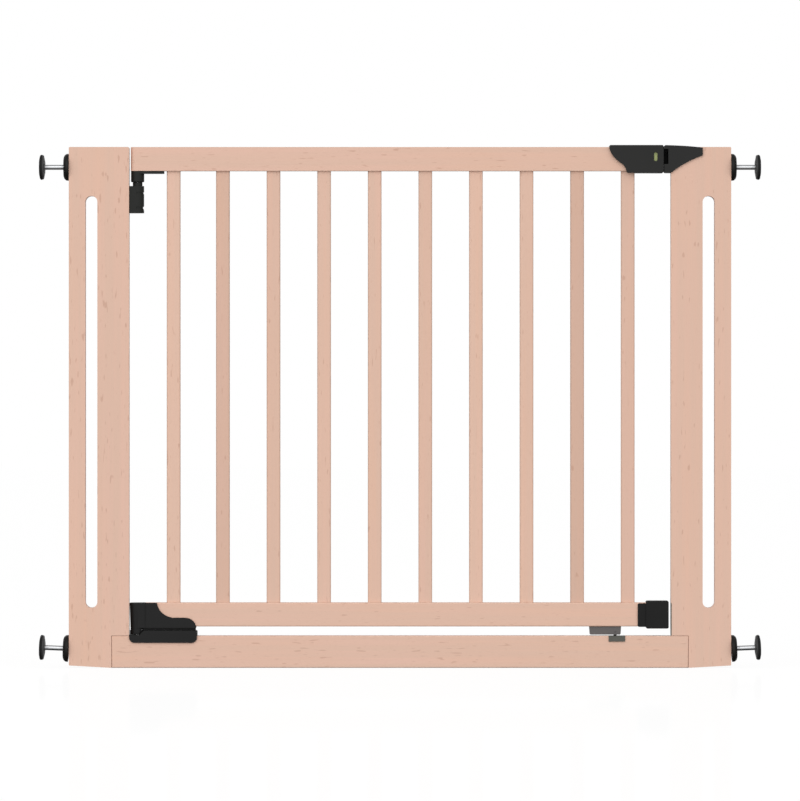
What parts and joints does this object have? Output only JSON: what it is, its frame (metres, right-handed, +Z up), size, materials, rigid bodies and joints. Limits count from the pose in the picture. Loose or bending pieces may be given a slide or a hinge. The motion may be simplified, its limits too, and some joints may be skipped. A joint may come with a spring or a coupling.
{
  "type": "safety gate",
  "caption": "Wooden pressure-fit child safety gate: a U-frame clamped between walls, with a slatted door on a rising hinge and a thumb latch.",
  "frame": {"origin": "on the floor, midway between the posts and midway through their thickness", "axes": "+X to the right along the gate, +Y away from the side the door opens to, +Z up"},
  "size_m": [1.131, 0.0426, 0.818],
  "materials": {
    "beech": "satin",
    "black_plastic": "satin",
    "black_rubber": "matte",
    "grey_plastic": "satin",
    "grey_metal": "satin",
    "dark_metal": "satin",
    "zinc_steel": "satin",
    "green_plastic": "satin",
    "red_plastic": "satin"
  },
  "bodies": {
    "frame": {"post_left": "beech", "post_right": "beech", "sill": "beech", "strike_plate": "dark_metal", "sill_screw_left": "zinc_steel", "sill_screw_right": "zinc_steel", "socket_screw": "zinc_steel", "top_hinge_socket": "black_plastic", "lower_hinge_base": "black_plastic", "lower_hinge_pin": "zinc_steel", "hinge_base_screw": "zinc_steel", "keeper": "black_plastic", "keeper_screw": "zinc_steel", "stop_plate": "grey_metal", "stop_plate_screw": "zinc_steel"},
    "hinge_bushes": {"top_hinge_bush": "black_plastic", "lower_hinge_bush": "grey_plastic"},
    "door": {"top_rail": "beech", "bottom_rail": "beech", "bar_01": "beech", "bar_02": "beech", "bar_03": "beech", "bar_04": "beech", "bar_05": "beech", "bar_06": "beech", "bar_07": "beech", "bar_08": "beech", "bar_09": "beech", "bar_10": "beech", "top_hinge_bracket": "black_plastic", "top_hinge_pin": "zinc_steel", "bracket_screw": "zinc_steel", "lower_hinge_shoe": "black_plastic", "shoe_screw": "zinc_steel", "handle_front_shell": "black_plastic", "handle_back_shell": "black_plastic", "handle_screw_1": "zinc_steel", "handle_screw_2": "zinc_steel", "rail_end_cap": "black_plastic", "cap_screw": "zinc_steel", "indicator_back": "red_plastic"},
    "latch": {"thumb_slider": "black_plastic", "latch_bolt": "black_plastic", "indicator_flag": "green_plastic", "latch_spring": "zinc_steel"},
    "stop": {"stop_slider": "grey_plastic"},
    "collar_upper_left": {"adjusting_collar_upper_left": "black_plastic"},
    "spindle_upper_left": {"threaded_rod_upper_left": "zinc_steel", "wall_pad_upper_left": "black_rubber"},
    "collar_upper_right": {"adjusting_collar_upper_right": "black_plastic"},
    "spindle_upper_right": {"threaded_rod_upper_right": "zinc_steel", "wall_pad_upper_right": "black_rubber"},
    "collar_lower_left": {"adjusting_collar_lower_left": "black_plastic"},
    "spindle_lower_left": {"threaded_rod_lower_left": "zinc_steel", "wall_pad_lower_left": "black_rubber"},
    "collar_lower_right": {"adjusting_collar_lower_right": "black_plastic"},
    "spindle_lower_right": {"threaded_rod_lower_right": "zinc_steel", "wall_pad_lower_right": "black_rubber"}
  },
  "joints": [
    {"name": "door_swing", "type": "hinge", "parent": "frame", "child": "hinge_bushes", "pos_m": [-0.411, 0, 0.4], "axis": [0, 0, -1], "range_deg": [0, 90]},
    {"name": "door_lift", "type": "slide", "parent": "hinge_bushes", "child": "door", "axis": [0, 0, 1], "range_m": [0, 0.0073]},
    {"name": "latch_slide", "type": "slide", "parent": "door", "child": "latch", "axis": [-1, 0, 0], "range_m": [0, 0.0092], "stiffness_N_per_m": 400, "springref_m": -0.004, "deforming": ["latch_spring"]},
    {"name": "stop_slide", "type": "slide", "parent": "door", "child": "stop", "axis": [-1, 0, 0], "range_m": [0, 0.0135]},
    {"name": "collar_spin_upper_left", "type": "hinge", "parent": "frame", "child": "collar_upper_left", "pos_m": [-0.5182, 0, 0.7836], "axis": [-1, 0, 0], "range_deg": [-7562, 2162]},
    {"name": "rod_slide_upper_left", "type": "slide", "parent": "frame", "child": "spindle_upper_left", "axis": [-1, 0, 0], "range_m": [-0.02625, 0.0075]},
    {"name": "collar_spin_upper_right", "type": "hinge", "parent": "frame", "child": "collar_upper_right", "pos_m": [0.5182, 0, 0.7836], "axis": [1, 0, 0], "range_deg": [-7562, 2162]},
    {"name": "rod_slide_upper_right", "type": "slide", "parent": "frame", "child": "spindle_upper_right", "axis": [1, 0, 0], "range_m": [-0.02625, 0.0075]},
    {"name": "collar_spin_lower_left", "type": "hinge", "parent": "frame", "child": "collar_lower_left", "pos_m": [-0.5182, 0, 0.0298], "axis": [-0.9992, 0, 0.0401], "range_deg": [-7562, 2162]},
    {"name": "rod_slide_lower_left", "type": "slide", "parent": "frame", "child": "spindle_lower_left", "axis": [-0.9992, 0, 0.0401], "range_m": [-0.02625, 0.0075]},
    {"name": "collar_spin_lower_right", "type": "hinge", "parent": "frame", "child": "collar_lower_right", "pos_m": [0.5182, 0, 0.0298], "axis": [0.9992, 0, 0.0401], "range_deg": [-7562, 2162]},
    {"name": "rod_slide_lower_right", "type": "slide", "parent": "frame", "child": "spindle_lower_right", "axis": [0.9992, 0, 0.0401], "range_m": [-0.02625, 0.0075]}
  ],
  "couplings": [
    {"joint": "door_lift", "follows": "door_swing", "m_per_rad": 0.0045837},
    {"joint": "collar_spin_upper_left", "follows": "rod_slide_upper_left", "rad_per_m": 5026.5},
    {"joint": "collar_spin_upper_right", "follows": "rod_slide_upper_right", "rad_per_m": 5026.5},
    {"joint": "collar_spin_lower_left", "follows": "rod_slide_lower_left", "rad_per_m": 5026.5},
    {"joint": "collar_spin_lower_right", "follows": "rod_slide_lower_right", "rad_per_m": 5026.5}
  ]
}
